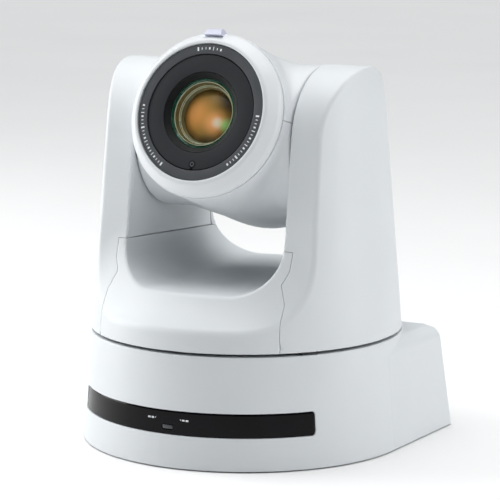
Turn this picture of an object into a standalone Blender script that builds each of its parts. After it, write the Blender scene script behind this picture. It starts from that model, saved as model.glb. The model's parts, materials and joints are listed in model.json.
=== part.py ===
"""Pan-tilt-zoom camera: round-fronted base, turning yoke with two arms, tilting head with a zoom lens.

Dimensions are millimetres and are scaled to metres when a mesh is made. +Z is up, and the camera
faces -Y. The pan axis is the line x = y = 0 of the "camera_origin" empty.
"""
import bpy
import bmesh
from math import cos, radians, sin
from mathutils import Matrix, Vector

for old in list(bpy.data.objects):
    bpy.data.objects.remove(old, do_unlink=True)

MM = 0.001
GAP = 0.3                    # space between pieces that touch
ROUND_STEPS = 48             # sides of the large round walls
RING_STEPS = 36              # sides of the lens rings
SMALL_STEPS = 24             # sides of shafts, bearings and other round pieces

# ---- driving dimensions -------------------------------------------------------------------------
BASE_RADIUS = 85.0           # round front of the base, at the floor
SEAT_RADIUS = 80.3           # same wall at the pan seam
SEAT_Z = 56.6                # top of the base, under the pan seam
HOUSING_BOTTOM = 0.6
FLANK_FLARE = 2.2            # degrees the straight flanks open to the rear, from the round front
BLOCK_REAR = 67.6            # rear wall, at the floor
BLOCK_TOP_REAR = 60.4        # rear wall, at the deck
BLOCK_CORNER = 2.5
DECK_Z = 54.8                # flat deck behind the round seat
DECK_ROUND = 7.0
CANOPY_Z = 46.0              # the round seat overhangs the rear wall above this height
BASE_WALL = 2.8

WINDOW_LOW, WINDOW_HIGH = 16.9, 29.0
WINDOW_HALF_ANGLE = 52.0     # degrees each side of the front

YOKE_BOTTOM = 58.2
YOKE_RADIUS = 80.3           # cone of the yoke at its lower edge
YOKE_TAPER = 0.0805          # loss of radius for each millimetre of height
TILT_Z = 156.0
ARM_TOP_RADIUS = 38.4        # round top of the arms, about the tilt axis
GAP_HALF_WIDTH = 44.6        # opening between the arms
GAP_FLOOR = 84.0
GAP_CORNER = 22.0
YOKE_WALL = 2.5
APRON_TOP, APRON_LOW = 83.4, 68.0          # sloping front facet
APRON_TOP_RADIUS = 64.5
APRON_LOW_RADIUS = 79.6
COVER_SEAM_Z = 107.0         # horizontal seam inside the arms
COVER_SEAM_X = 47.8          # seam beside the apron

REST_TILT = 19.0             # degrees the lens points above level
BEZEL_FRONT = 52.8           # lens ring, forward of the tilt axis
CASE_FRONT = 43.2
CASE_RADIUS = 42.0
BARREL_RADIUS = 42.3         # round case about the lens axis
TAIL_START = -12.0           # forward of the tilt axis, where the barrel starts to close
TAIL_LENGTH = 45.0
TAIL_POWER = 4.0             # a squarer tail with a higher power
DRUM_RADIUS = 37.8           # hub drum about the tilt axis
HUB_END = 43.9
CASE_WALL = 2.3
SHAFT_RADIUS = 14.0
GLASS_RADIUS = 17.2
LAMP_HALF = 4.6              # half width of the tally lamp
TUBE_RADIUS = 27.0           # lens barrel, outside
TUBE_BORE = 24.4
ROD_X, ROD_Z = 0.0, 21.6     # guide rods above and below the lens axis

HIDDEN_START = radians(7.0)  # the rear block starts this far inside the round wall
WALL_DRAFT = (BASE_RADIUS - SEAT_RADIUS) / SEAT_Z
FRONT_REACH = BASE_RADIUS - WALL_DRAFT * HOUSING_BOTTOM
REAR_REACH = BASE_RADIUS - WALL_DRAFT * CANOPY_Z
PAN_Y = (FRONT_REACH - REAR_REACH) / 2     # puts the middle of the bounding box on y = 0

WHITE = (0.80, 0.82, 0.83)
MATERIALS = {
    "white_shell": (WHITE, 0.42, 0.0),
    "white_case": ((0.82, 0.84, 0.85), 0.38, 0.0),
    "dark_gloss": ((0.01, 0.01, 0.012), 0.08, 0.0),
    "dark_plastic": ((0.035, 0.037, 0.04), 0.5, 0.0),
    "ring_plastic": ((0.07, 0.072, 0.075), 0.45, 0.0),
    "rubber": ((0.03, 0.03, 0.03), 0.85, 0.0),
    "steel": ((0.55, 0.56, 0.58), 0.35, 1.0),
    "cast_metal": ((0.60, 0.61, 0.62), 0.5, 1.0),
    "brass": ((0.72, 0.55, 0.25), 0.3, 1.0),
    "connector_metal": ((0.62, 0.63, 0.64), 0.28, 1.0),
    "board": ((0.02, 0.16, 0.07), 0.5, 0.0),
    "coil": ((0.45, 0.2, 0.08), 0.4, 1.0),
    "magnet": ((0.12, 0.12, 0.13), 0.35, 1.0),
    "lens_glass": ((0.85, 0.9, 0.95), 0.02, 0.0),
    "lamp_lens": ((0.72, 0.74, 0.86), 0.25, 0.0),
    "filter_glass": ((0.2, 0.2, 0.22), 0.05, 0.0),
}


# ---- materials, meshes and objects ----------------------------------------------------------------
def material(slot):
    """The Principled material of one finish, made once."""
    found = bpy.data.materials.get(slot)
    if found:
        return found
    colour, roughness, metallic = MATERIALS[slot]
    made = bpy.data.materials.new(slot)
    made.use_nodes = True
    shader = made.node_tree.nodes["Principled BSDF"]
    shader.inputs["Base Color"].default_value = (*colour, 1.0)
    shader.inputs["Roughness"].default_value = roughness
    shader.inputs["Metallic"].default_value = metallic
    return made


def empty(name, location, parent=None, tilt_deg=0.0):
    """A frame that pieces are placed in."""
    made = bpy.data.objects.new(name, None)
    made.location = Vector(location) * MM
    made.rotation_euler = (radians(tilt_deg), 0, 0)
    made.parent = parent
    bpy.context.scene.collection.objects.link(made)
    return made


def link(bm, name="work"):
    """Puts a bmesh, still in millimetres, into a new object of flat triangles."""
    bmesh.ops.triangulate(bm, faces=bm.faces)
    bmesh.ops.recalc_face_normals(bm, faces=bm.faces)
    mesh = bpy.data.meshes.new(name)
    bm.to_mesh(mesh)
    bm.free()
    made = bpy.data.objects.new(name, mesh)
    bpy.context.scene.collection.objects.link(made)
    return made


def combine(target, other, operation):
    """Boolean of two work objects. The second is used up."""
    modifier = target.modifiers.new(operation.lower(), "BOOLEAN")
    modifier.operation = operation
    modifier.solver = "EXACT"
    modifier.object = other
    bpy.context.view_layer.update()
    evaluated = target.evaluated_get(bpy.context.evaluated_depsgraph_get())
    result = bpy.data.meshes.new_from_object(evaluated)
    target.modifiers.clear()
    target.data = result
    tidy(result)
    bpy.data.objects.remove(other, do_unlink=True)
    return target


def tidy(mesh, distance=0.002):
    """Welds points closer than a distance and leaves only triangles."""
    bm = bmesh.new()
    bm.from_mesh(mesh)
    bmesh.ops.remove_doubles(bm, verts=bm.verts, dist=distance)
    bmesh.ops.dissolve_degenerate(bm, edges=bm.edges, dist=distance)
    bmesh.ops.holes_fill(bm, edges=[edge for edge in bm.edges if edge.is_boundary], sides=12)
    bmesh.ops.triangulate(bm, faces=bm.faces)
    bm.to_mesh(mesh)
    bm.free()


def cut(target, *others):
    for other in others:
        combine(target, other, "DIFFERENCE")
    return target


def join(target, *others):
    for other in others:
        combine(target, other, "UNION")
    return target


def common(target, other):
    return combine(target, other, "INTERSECT")


def node(work, name, slot, parent, location=(0, 0, 0), turn=None):
    """Finishes a work object as a named piece, in metres, in its parent's frame."""
    mesh = work.data
    if turn is not None:
        mesh.transform(turn)
    mesh.transform(Matrix.Scale(MM, 4))
    tidy(mesh, 2e-6)
    mesh.materials.clear()
    mesh.materials.append(material(slot))
    mesh.shade_smooth()
    mesh.set_sharp_from_angle(angle=radians(35))
    work.name = name
    mesh.name = name
    work.parent = parent
    work.location = Vector(location) * MM
    return work


# ---- basic shapes, in millimetres -------------------------------------------------------------------
def box(low, high, bevel=0.0):
    """A box between two corners, with its edges rounded if asked."""
    bm = bmesh.new()
    bmesh.ops.create_cube(bm, size=1.0)
    size = [b - a for a, b in zip(low, high)]
    middle = [(a + b) / 2 for a, b in zip(low, high)]
    bmesh.ops.scale(bm, vec=size, verts=bm.verts)
    bmesh.ops.translate(bm, vec=middle, verts=bm.verts)
    if bevel:
        bmesh.ops.bevel(bm, geom=bm.edges[:], offset=bevel, segments=2, affect="EDGES", profile=0.5)
    return link(bm)


def turned(profile, segments=SMALL_STEPS, start=0.0, sweep=360.0):
    """A closed (radius, height) outline turned about Z, all round or through part of a turn."""
    bm = bmesh.new()
    whole = sweep >= 360.0
    count = segments if whole else segments + 1
    rings = []
    for step in range(count):
        angle = radians(start + sweep * step / segments)
        ring = []
        for radius, height in profile:
            if radius < 1e-6 and step:
                ring.append(rings[0][len(ring)])
            else:
                ring.append(bm.verts.new((radius * cos(angle), radius * sin(angle), height)))
        rings.append(ring)
    steps = segments if not whole else count
    for step in range(steps):
        near, far = rings[step], rings[(step + 1) % count]
        for a in range(len(profile)):
            b = (a + 1) % len(profile)
            corners = []
            for vert in (near[a], near[b], far[b], far[a]):
                if vert not in corners:
                    corners.append(vert)
            if len(corners) > 2:
                bm.faces.new(corners)
    if not whole:
        bm.faces.new(rings[0])
        bm.faces.new(reversed(rings[-1]))
    return link(bm)


def disc(radius, low, high, segments=SMALL_STEPS):
    return turned([(0, low), (radius, low), (radius, high), (0, high)], segments)


def tube(inner, outer, low, high, segments=SMALL_STEPS):
    return turned([(inner, low), (outer, low), (outer, high), (inner, high)], segments)


def prism(outline, low, high, axis="Z"):
    """A flat outline pushed along an axis. The outline is (x, y), (x, z) or (y, z) in that order."""
    place = {"Z": lambda a, b, h: (a, b, h), "Y": lambda a, b, h: (a, h, b), "X": lambda a, b, h: (h, a, b)}
    bm = bmesh.new()
    near = [bm.verts.new(place[axis](a, b, low)) for a, b in outline]
    far = [bm.verts.new(place[axis](a, b, high)) for a, b in outline]
    bm.faces.new(near)
    bm.faces.new(reversed(far))
    for a in range(len(outline)):
        b = (a + 1) % len(outline)
        bm.faces.new((near[a], near[b], far[b], far[a]))
    return link(bm)


def arc(centre, radius, start, end, steps):
    """Points on a circle, angles in degrees."""
    angles = [radians(start + (end - start) * i / steps) for i in range(steps + 1)]
    return [(centre[0] + radius * cos(a), centre[1] + radius * sin(a)) for a in angles]


def rounded_rectangle(half_a, low, high, corner, steps=4):
    """Outline of a rectangle, symmetric in its first coordinate."""
    points = arc((half_a - corner, low + corner), corner, -90, 0, steps)
    points += arc((half_a - corner, high - corner), corner, 0, 90, steps)
    points += arc((corner - half_a, high - corner), corner, 90, 180, steps)
    points += arc((corner - half_a, low + corner), corner, 180, 270, steps)
    return points


TO_LENS = Matrix.Rotation(radians(90), 4, "X")     # turned pieces: +Z becomes the lens direction, -Y
TO_RIGHT = Matrix.Rotation(radians(90), 4, "Y")    # +Z becomes +X
TO_LEFT = Matrix.Rotation(radians(-90), 4, "Y")    # +Z becomes -X
TO_REAR = Matrix.Rotation(radians(-90), 4, "X")    # +Z becomes +Y


def moved(work, offset=(0, 0, 0), turn=None):
    if turn is not None:
        work.data.transform(turn)
    work.data.transform(Matrix.Translation(Vector(offset)))
    return work


# ---- base -----------------------------------------------------------------------------------------
def base_radius(z):
    """Radius of the drafted round wall at a height."""
    return BASE_RADIUS - WALL_DRAFT * z


def block_outline(t, inset):
    """Plan of the rear block, t = 0 at the floor and 1 at the deck. Its flanks touch the round wall."""
    flare = radians(FLANK_FLARE)
    reach = base_radius(t * DECK_Z) - inset
    rear = BLOCK_REAR + (BLOCK_TOP_REAR - BLOCK_REAR) * t - inset
    centre_y = rear - BLOCK_CORNER
    centre_x = (reach - BLOCK_CORNER + centre_y * sin(flare)) / cos(flare)
    points = arc((centre_x, centre_y), BLOCK_CORNER, -FLANK_FLARE, 90, 4)
    points += arc((-centre_x, centre_y), BLOCK_CORNER, 90, 180 + FLANK_FLARE, 4)
    touch = (reach * cos(flare), -reach * sin(flare))
    hidden = ((reach - GAP) * cos(HIDDEN_START), -(reach - GAP) * sin(HIDDEN_START))
    return [hidden, touch] + points + [(-touch[0], touch[1]), (-hidden[0], hidden[1])]


def base_solid(inset, bottom):
    """The outside of the base, or the same shape drawn in by a wall thickness."""
    top = SEAT_Z - inset
    wall = [(0, bottom), (base_radius(bottom) - inset, bottom), (base_radius(top) - inset, top), (0, top)]
    round_part = turned(wall, ROUND_STEPS)
    cut(round_part, box((-100, BLOCK_TOP_REAR - 6, -20), (100, 100, CANOPY_Z + inset)))
    layers = [(bottom, inset), (DECK_Z - DECK_ROUND, inset)]
    for degrees in (30, 60, 90):
        height = DECK_Z - DECK_ROUND + (DECK_ROUND - inset) * sin(radians(degrees))
        layers.append((height, inset + DECK_ROUND * (1 - cos(radians(degrees)))))
    bm = bmesh.new()
    rings = []
    for height, drawn in layers:
        outline = block_outline(height / DECK_Z, drawn)
        rings.append([bm.verts.new((x, y, height)) for x, y in outline])
    for near, far in zip(rings, rings[1:]):
        for a in range(len(near)):
            b = (a + 1) % len(near)
            bm.faces.new((near[a], near[b], far[b], far[a]))
    bm.faces.new(rings[0])
    bm.faces.new(reversed(rings[-1]))
    return join(round_part, link(bm))


PANEL_HALF, PANEL_LOW, PANEL_HIGH = 72.0, 7.0, 43.0
PANEL_Y = 57.0


def build_base(origin):
    housing = base_solid(0.0, HOUSING_BOTTOM)
    cut(housing, base_solid(BASE_WALL, HOUSING_BOTTOM - 5))
    window_profile = [(BASE_RADIUS - 8, WINDOW_LOW), (BASE_RADIUS + 8, WINDOW_LOW),
                      (BASE_RADIUS + 8, WINDOW_HIGH), (BASE_RADIUS - 8, WINDOW_HIGH)]
    front = -90 - WINDOW_HALF_ANGLE
    cut(housing, turned(window_profile, 34, front, 2 * WINDOW_HALF_ANGLE))
    cut(housing, box((-PANEL_HALF, PANEL_Y - 2, PANEL_LOW), (PANEL_HALF, BLOCK_REAR + 3, PANEL_HIGH)))
    cut(housing, disc(28.0, SEAT_Z - 10, SEAT_Z + 5))
    node(housing, "base_housing", "white_shell", origin)

    low, high = WINDOW_LOW + GAP, WINDOW_HIGH - GAP
    recess, thickness = 0.35, 2.2
    profile = [(base_radius(low) - recess - thickness, low), (base_radius(low) - recess, low),
               (base_radius(high) - recess, high), (base_radius(high) - recess - thickness, high)]
    half = WINDOW_HALF_ANGLE - 0.25
    window = turned(profile, 34, -90 - half, 2 * half)
    light_z = 20.6
    light_front = -(base_radius(light_z) - recess)
    lamp = rounded_rectangle(3.0, -1.1, 1.1, 1.0, 3)
    lamp_hole = [(x * 1.1, light_z + z * 1.28) for x, z in lamp]
    cut(window, prism(lamp_hole, light_front - 6, light_front + 6, "Y"))
    node(window, "front_window", "dark_gloss", origin)
    light = prism([(x, light_z + z) for x, z in lamp], light_front + 0.1, light_front + 2.4, "Y")
    node(light, "status_light", "lamp_lens", origin)

    plate_inset = BASE_WALL + 1.0
    outline = block_outline(0.0, plate_inset)
    round_front = arc((0, 0), BASE_RADIUS - plate_inset, -180, 0, 36)
    plate = prism(outline[2:-2] + round_front, 1.6, 3.2)
    cut(plate, disc(8.4, -2, 6))
    for x in (-48.0, 48.0):
        for y in (-40.0, 44.0):
            join(plate, moved(disc(3.4, 0.8, 2.4, 12), (x, y, 0)))     # screw heads
    node(plate, "bottom_plate", "cast_metal", origin)
    bush = turned([(3.2, 1.6), (8.0, 1.6), (8.0, 3.5), (11.0, 3.5), (11.0, 5.0), (7.0, 5.0), (7.0, 11.0),
                   (3.2, 11.0)], 24)
    node(bush, "tripod_bush", "brass", origin)
    feet = {"front_left_foot": (-44, -54), "front_right_foot": (44, -54),
            "rear_left_foot": (-66, 50), "rear_right_foot": (66, 50)}
    for name, (x, y) in feet.items():
        foot = turned([(0, 0), (6.5, 0), (7.5, 0.5), (7.5, 1.3), (0, 1.3)], 20)
        node(foot, name, "rubber", origin, (x, y, 0))

    panel = box((GAP - PANEL_HALF - 3, PANEL_Y - 1.2, 5.0), (PANEL_HALF + 3 - GAP, PANEL_Y + 0.4, PANEL_HIGH + 3))
    build_connectors(origin, panel)
    node(panel, "connector_panel", "dark_plastic", origin)

    board = box((-58, -44, 12.0), (58, 46, 13.6))
    cut(board, disc(16.0, 8, 18, 24))
    node(board, "main_board", "board", origin)
    node(tube(22.4, 27.6, 51.0, SEAT_Z), "pan_bearing", "steel", origin)
    node(tube(31.0, 41.0, 38.5, 47.5), "pan_stator", "coil", origin)


def build_connectors(origin, panel):
    """Sockets of the rear panel. Each one sits in a hole cut in the panel."""
    depth = PANEL_Y + 0.4

    def socket(name, x, z, half_width, height, opening, slot, proud=2.0, behind=9.0):
        body = box((x - half_width, depth - behind, z), (x + half_width, depth + proud, z + height))
        rim_x, rim_z = opening
        cut(body, box((x - half_width + rim_x, depth - behind + 2.5, z + rim_z),
                      (x + half_width - rim_x, depth + proud + 2, z + height - rim_z)))
        cut(panel, box((x - half_width - GAP, depth - 4, z - GAP), (x + half_width + GAP, depth + 3, z + height + GAP)))
        node(body, name, slot, origin)

    socket("lan_socket", 44.0, 12.0, 8.2, 13.5, (1.6, 1.6), "connector_metal")
    socket("serial_socket", 20.5, 12.0, 8.2, 13.5, (1.6, 1.6), "connector_metal")
    socket("hdmi_socket", 32.0, 31.0, 7.8, 5.8, (0.7, 0.6), "connector_metal")

    def round_socket(name, x, z, profile, slot, hole):
        body = moved(turned(profile, 16), (x, depth, z), TO_REAR)
        cut(panel, moved(disc(hole, -4, 4, 16), (x, depth, z), TO_REAR))
        node(body, name, slot, origin)

    bayonet = [(0, -8), (6.0, -8), (6.0, 0.6), (7.2, 0.6), (7.2, 1.8), (4.8, 1.8), (4.8, 7.4), (4.1, 7.4),
               (4.1, -5), (0, -5)]
    for name, x in (("sdi_connector_1", -58.0), ("sdi_connector_2", -38.0), ("genlock_connector", -18.0)):
        round_socket(name, x, 32.0, bayonet, "connector_metal", 6.3)
    inlet = [(0, -9), (8.0, -9), (8.0, 2.0), (6.6, 2.0), (6.6, -6), (0, -6)]
    round_socket("dc_inlet", -54.0, 15.5, inlet, "dark_plastic", 8.3)
    jack = [(0, -9), (4.0, -9), (4.0, 1.5), (2.2, 1.5), (2.2, -7), (0, -7)]
    round_socket("audio_jack", -32.0, 15.5, jack, "dark_plastic", 4.3)


# ---- turntable ------------------------------------------------------------------------------------
def cone_radius(z):
    return YOKE_RADIUS - YOKE_TAPER * (z - YOKE_BOTTOM)


def arm_outline(inset):
    """Side view of the arms: (y, z) points, round at the top and spreading below."""
    top = ARM_TOP_RADIUS - inset
    right = [(APRON_LOW_RADIUS - inset, APRON_LOW - 18), (APRON_LOW_RADIUS - inset, APRON_LOW - 4)]
    flare = [(66.0, 78.0), (56.5, 86.0), (50.0, 94.0), (45.5, 104.0), (43.2, 118.0), (41.0, 136.0)]
    right += [(y - inset, z) for y, z in flare]
    round_top = arc((0, TILT_Z), top, 0, 180, 14)
    return right + round_top + [(-y, z) for y, z in reversed(right)]


def yoke_solid(inset, bottom):
    """Outside of the yoke, with the opening between its arms, drawn in by an inset."""
    top = TILT_Z + ARM_TOP_RADIUS + 4
    cone = [(0, bottom), (cone_radius(bottom) - inset, bottom), (cone_radius(top) - inset, top), (0, top)]
    solid = turned(cone, ROUND_STEPS)
    apron = [(0, bottom - 2), (APRON_LOW_RADIUS + 4, bottom - 2), (APRON_LOW_RADIUS + 4, APRON_LOW - 4 - inset),
             (APRON_LOW_RADIUS, APRON_LOW - inset), (APRON_TOP_RADIUS, APRON_TOP - inset), (0, APRON_TOP - inset)]
    body = turned(apron, ROUND_STEPS)
    join(body, prism(arm_outline(inset), -90, 90, "X"))
    common(solid, body)
    return cut(solid, moved(opening(inset, 100.0)))


def opening(inset, half_length):
    """The space between the arms, made wider by the inset."""
    half = GAP_HALF_WIDTH + inset
    floor = GAP_FLOOR - inset
    outline = arc((half - GAP_CORNER, floor + GAP_CORNER), GAP_CORNER, -90, 0, 6)
    outline += [(half, 220.0), (-half, 220.0)]
    outline += arc((GAP_CORNER - half, floor + GAP_CORNER), GAP_CORNER, 180, 270, 6)
    return prism(outline, -half_length, half_length, "Y")


def centre_region(grow):
    """Column that holds the centre cover: its seams step out near the top."""
    half = COVER_SEAM_X + grow
    top = COVER_SEAM_Z + grow
    step = 4.0
    outline = [(half, 40.0), (half, top - 16), (half + step, top - 10), (half + step, top)]
    return prism(outline + [(-x, z) for x, z in reversed(outline)], -100, 100, "Y")


def build_covers(pan):
    shell = yoke_solid(0.0, YOKE_BOTTOM)
    cut(shell, yoke_solid(YOKE_WALL, YOKE_BOTTOM - 6))
    centre = link_copy(shell)
    node(common(centre, centre_region(-GAP / 2)), "centre_cover", "white_shell", pan)
    cut(shell, centre_region(GAP / 2))
    for side, name in ((-1, "left"), (1, "right")):
        arm = link_copy(shell)
        common(arm, box((0, -100, 40), (100, 100, 220)) if side > 0 else box((-100, -100, 40), (0, 100, 220)))
        panel_region = inner_panel_region(side, GAP)
        cut(arm, panel_region)
        cut(arm, inner_panel_hole(side, 30.0))
        node(arm, name + "_arm_cover", "white_shell", pan)
        panel = inner_panel_region(side, 0.0)
        common(panel, box((-47.0, -60, 60), (47.0, 60, 220)))
        cut(panel, inner_panel_hole(side, 17.0))
        node(panel, name + "_inner_cover", "white_shell", pan)
    bpy.data.objects.remove(shell, do_unlink=True)


def link_copy(work):
    made = bpy.data.objects.new("work", work.data.copy())
    bpy.context.scene.collection.objects.link(made)
    return made


def inner_panel_region(side, grow):
    """Slab that the inner panel of one arm fills, inside the arm's rim."""
    drawn = 2.6 - grow
    outline = [(y, z) for y, z in arm_outline(drawn) if z > COVER_SEAM_Z + 3]
    low = COVER_SEAM_Z + GAP - grow
    half = abs(outline[0][0]) + 1.0
    outline = [(half, low)] + outline + [(-half, low)]
    near, far = sorted((side * (GAP_HALF_WIDTH - 1.0 * (grow > 0)), side * (47.4 + grow)))
    return prism(outline, near, far, "X")


def inner_panel_hole(side, radius):
    hole = disc(radius, 30.0, 52.0)
    return moved(hole, (0, 0, TILT_Z), TO_RIGHT if side > 0 else TO_LEFT)


def build_turntable(pan):
    plate = turned([(18.0, 39.0), (22.0, 39.0), (22.0, 59.5), (75.0, 59.5), (75.0, 63.0), (18.0, 63.0)],
                   RING_STEPS)
    node(plate, "turntable_plate", "cast_metal", pan)
    node(tube(22.3, 30.4, 39.0, 47.0), "pan_rotor", "magnet", pan)
    board = box((-34, -30, 66.0), (34, 30, 67.6))
    cut(board, disc(14.0, 60, 72, 20))
    node(board, "control_board", "board", pan)
    for side, name in ((-1, "left"), (1, "right")):
        turn = TO_RIGHT if side > 0 else TO_LEFT
        outline = [(-34.0, 63.3), (34.0, 63.3), (30.0, 108.0)] + arc((0, TILT_Z), 27.0, 0, 180, 14)
        outline += [(-30.0, 108.0)]
        near, far = sorted((side * 48.4, side * 50.6))
        upright = prism(outline, near, far, "X")
        near, far = sorted((side * 49.2, side * 64.0))
        join(upright, box((near, -32, 63.5), (far, 32, 65.8)))
        cut(upright, moved(disc(20.4, 40, 60), (0, 0, TILT_Z), turn))
        node(upright, name + "_upright", "steel", pan)
        bearing = moved(tube(SHAFT_RADIUS + 0.3, 20.1, 47.9, 53.0), (0, 0, TILT_Z), turn)
        node(bearing, name + "_tilt_bearing", "steel", pan)
    stator = moved(tube(23.0, 30.0, 54.0, 60.0), (0, 0, TILT_Z), TO_RIGHT)
    node(stator, "tilt_stator", "coil", pan)


# ---- head -----------------------------------------------------------------------------------------
def barrel_profile(inset, front):
    """Half outline of the head's barrel: straight to the front, closing to a blunt tail."""
    radius, length = BARREL_RADIUS - inset, TAIL_LENGTH - inset
    points = [(0, front), (radius, front), (radius, TAIL_START)]
    for degrees in (25, 40, 50, 60, 68, 76, 83, 90):
        along = sin(radians(degrees))
        reach = max(1 - along ** TAIL_POWER, 0.0) ** (1 / TAIL_POWER)
        points.append((radius * reach, TAIL_START - length * along))
    return points


def head_solid(inset, front):
    """The barrel about the lens axis and the hub drum across it."""
    barrel = moved(turned(barrel_profile(inset, front), RING_STEPS), (0, 0, 0), TO_LENS)
    drum = moved(disc(DRUM_RADIUS - inset, inset - HUB_END, HUB_END - inset, RING_STEPS), (0, 0, 0), TO_RIGHT)
    return join(barrel, drum)


def case_half(lower):
    shell = head_solid(0.0, CASE_FRONT)
    cut(shell, head_solid(CASE_WALL, CASE_FRONT + 3))
    cut(shell, moved(disc(SHAFT_RADIUS + 1.0, -60, 60), (0, 0, 0), TO_RIGHT))
    low, high = (-60, -GAP / 2) if lower else (GAP / 2, 60)
    return common(shell, box((-60, -60, low), (60, 60, high)))


def lens_piece(profile, name, slot, parent, segments=RING_STEPS, location=(0, 0, 0)):
    """A turned (radius, forward) outline about the lens axis."""
    return node(turned(profile, segments), name, slot, parent, location, TO_LENS)


def build_head(head):
    node(case_half(False), "head_upper_case", "white_case", head)
    node(case_half(True), "head_lower_case", "white_case", head)
    lamp_side = [(-52.4, 39.0), (-50.3, 42.4), (-48.6, 43.2), (-46.2, 43.1), (-44.6, 41.6), (-44.0, 39.0)]
    node(prism(lamp_side, -LAMP_HALF, LAMP_HALF, "X"), "tally_lamp", "lamp_lens", head)

    front = BEZEL_FRONT
    bezel = [(36.4, front), (41.2, front - 5.0), (CASE_RADIUS, front - 6.6), (CASE_RADIUS, CASE_FRONT + GAP),
             (38.6, CASE_FRONT + GAP), (38.6, front - 4.4), (34.9, front - 4.4), (34.9, front)]
    bezel_ring = moved(turned(bezel, RING_STEPS), (0, 0, 0), TO_LENS)
    lamp_slot = LAMP_HALF + GAP
    cut(bezel_ring, box((-lamp_slot, -60, 39.0 - GAP), (lamp_slot, -43.0, 60)))
    node(bezel_ring, "front_bezel", "white_case", head)
    ring = [(29.7, front - 3.4), (34.6, front - 3.4), (34.6, front - 0.8), (29.7, front - 0.8)]
    lens_piece(ring, "name_ring", "ring_plastic", head)
    plate = turned([(21.0, front - 3.8), (29.2, front - 3.8), (29.2, front - 1.4), (21.0, front - 1.4)], RING_STEPS)
    cut(plate, moved(disc(1.0, front - 2.6, front + 2, 12), (0, -26.5, 0)))
    node(plate, "front_plate", "dark_plastic", head, (0, 0, 0), TO_LENS)
    hood = [(20.7, front - 8.8), (20.7, front - 1.6), (19.9, front - 1.6), (19.5, front - 3.2), (18.8, front - 3.4),
            (18.4, front - 5.0), (17.6, front - 5.2), (17.6, front - 8.8)]
    lens_piece(hood, "lens_hood", "dark_plastic", head)
    glass = [(0, front - 8.6), (15.0, front - 7.8), (GLASS_RADIUS, front - 6.9), (GLASS_RADIUS, front - 5.9),
             (13.0, front - 4.3), (7.0, front - 3.3), (0, front - 2.9)]
    lens_piece(glass, "front_lens", "lens_glass", head)

    back = -21.0
    barrel = turned([(TUBE_BORE, back), (TUBE_RADIUS, back), (TUBE_RADIUS, 40.6), (37.0, 40.6), (37.0, 43.4),
                     (TUBE_BORE, 43.4)], RING_STEPS)
    cut(barrel, box((-5, 20, 9), (5, 40, 38.5)), box((-5, -40, -11), (5, -20, 3)))   # slots for the carrier arms
    node(barrel, "lens_barrel", "dark_plastic", head, (0, 0, 0), TO_LENS)
    for side, name in ((-1, "left"), (1, "right")):
        turn = TO_RIGHT if side > 0 else TO_LEFT
        shaft = [(10.0, 28.6), (20.0, 28.6), (20.0, 32.0), (SHAFT_RADIUS, 32.0), (SHAFT_RADIUS, 61.0), (10.0, 61.0)]
        node(turned(shaft), name + "_tilt_shaft", "cast_metal", head, (0, 0, 0), turn)
    node(tube(SHAFT_RADIUS + GAP, 22.4, 54.0, 60.0), "tilt_rotor", "magnet", head, (0, 0, 0), TO_RIGHT)
    for name, z in (("guide_rod_upper", ROD_Z), ("guide_rod_lower", -ROD_Z)):
        rod = disc(1.2, back, 40.0, 12)
        node(rod, name, "steel", head, (ROD_X, 0, z), TO_LENS)
    node(box((-17, 28.0, -12), (17, 29.6, 12)), "sensor_board", "board", head)
    build_drive(head, "zoom", 31.0, (3.0, 36.0), (-6.0, 3.0 - GAP))
    build_drive(head, "focus", -31.0, (-10.0, 3.0), (3.0 + GAP, 12.0))
    build_groups(head)


def build_drive(head, kind, height, screw_span, motor_span):
    """A stepping motor with its lead screw, above or below the lens barrel."""
    node(disc(1.3, *screw_span, 12), kind + "_screw", "steel", head, (0, 0, height), TO_LENS)
    node(disc(3.4, *motor_span, 16), kind + "_motor", "cast_metal", head, (0, 0, height), TO_LENS)


def carrier(forward, thickness, up):
    """Lens holder that slides on the guide rods, with an arm that reaches its lead screw."""
    low, high = forward - thickness / 2, forward + thickness / 2
    body = tube(13.0, 23.0, low, high)
    arm_low, arm_high = sorted((up * 18.0, up * 29.2))
    join(body, box((-4.0, arm_low, low + 0.5), (4.0, arm_high, high - 0.5)))
    for z in (ROD_Z, -ROD_Z):
        cut(body, moved(disc(1.27, low - 5, high + 5, 12), (0, z, 0)))
    return body


def build_groups(head):
    glass = [(0, 20.6), (12.0, 22.2), (12.6, 22.8), (12.6, 24.6), (6.0, 27.0), (0, 27.8)]
    zoom = carrier(24.0, 5.0, 1)
    node(zoom, "zoom_carrier", "dark_plastic", head, (0, 0, 0), TO_LENS)
    lens_piece(glass, "zoom_lens", "lens_glass", head, SMALL_STEPS)
    iris = tube(9.0, 20.0, 7.0, 9.0)
    node(iris, "iris_ring", "dark_plastic", head, (0, 0, 0), TO_LENS)
    focus = carrier(-4.0, 4.0, -1)
    node(focus, "focus_carrier", "dark_plastic", head, (0, 0, 0), TO_LENS)
    rear_glass = [(0, -6.4), (12.6, -5.4), (12.6, -3.6), (6.0, -1.8), (0, -1.2)]
    lens_piece(rear_glass, "focus_lens", "lens_glass", head, SMALL_STEPS)
    wheel = disc(13.5, -19.6, -18.0)
    cut(wheel, disc(1.2, -25, -10, 12))
    for step in range(4):
        angle = radians(90 * step)
        hole = disc(4.6, -25, -10, 12)
        cut(wheel, moved(hole, (7.4 * cos(angle), 7.4 * sin(angle), 0)))
    node(wheel, "filter_wheel", "dark_plastic", head, (7.4, 0, 0), TO_LENS)


def build():
    origin = empty("camera_origin", (0, PAN_Y, 0))
    pan = empty("pan_axis", (0, 0, 0), origin)
    head = empty("tilt_axis", (0, 0, TILT_Z), pan, -REST_TILT)
    build_base(origin)
    build_covers(pan)
    build_turntable(pan)
    build_head(head)
    bpy.context.view_layer.update()


build()
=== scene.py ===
"""Looks of the pan-tilt-zoom camera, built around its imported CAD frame.

Shapes are worked out in millimetres about the pan axis, or about the tilt axis with the lens
level, and are put in place in metres.
"""
import json

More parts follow.
